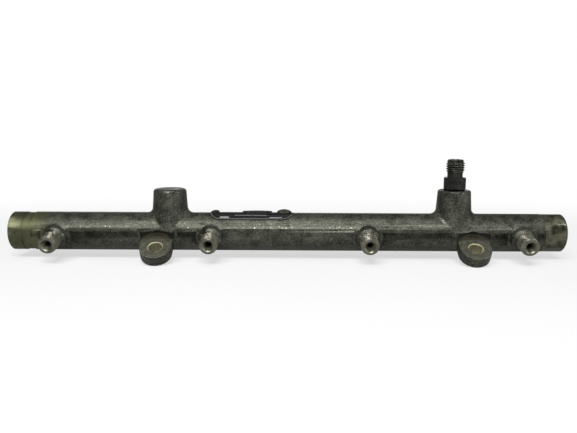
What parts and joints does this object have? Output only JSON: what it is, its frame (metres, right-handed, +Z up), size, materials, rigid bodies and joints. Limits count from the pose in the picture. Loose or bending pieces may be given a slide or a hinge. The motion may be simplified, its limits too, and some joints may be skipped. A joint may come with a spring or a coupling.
{
  "type": "fuel rail",
  "caption": "Forged steel fuel rail: a round high-pressure tube with threaded side outlets, top bosses, mounting eyes, a screw-in pipe adapter and a loose foil label.",
  "frame": {"origin": "on the rail's axis, at the mouth of its left port", "axes": "+X along the rail's axis to the right port, +Z up through the bosses, outlets facing -Y"},
  "size_m": [0.3678, 0.0425, 0.0674],
  "materials": {
    "forged_steel": "as forged, dark grey, oily and worn, with bright turned ends and outlets",
    "adapter_steel": "black oxide, worn on the thread",
    "label_foil": "black print, lifted and frayed at its edges"
  },
  "bodies": {
    "root": {"rail_body": "forged_steel", "adapter": "adapter_steel", "label": "label_foil"}
  },
  "joints": []
}
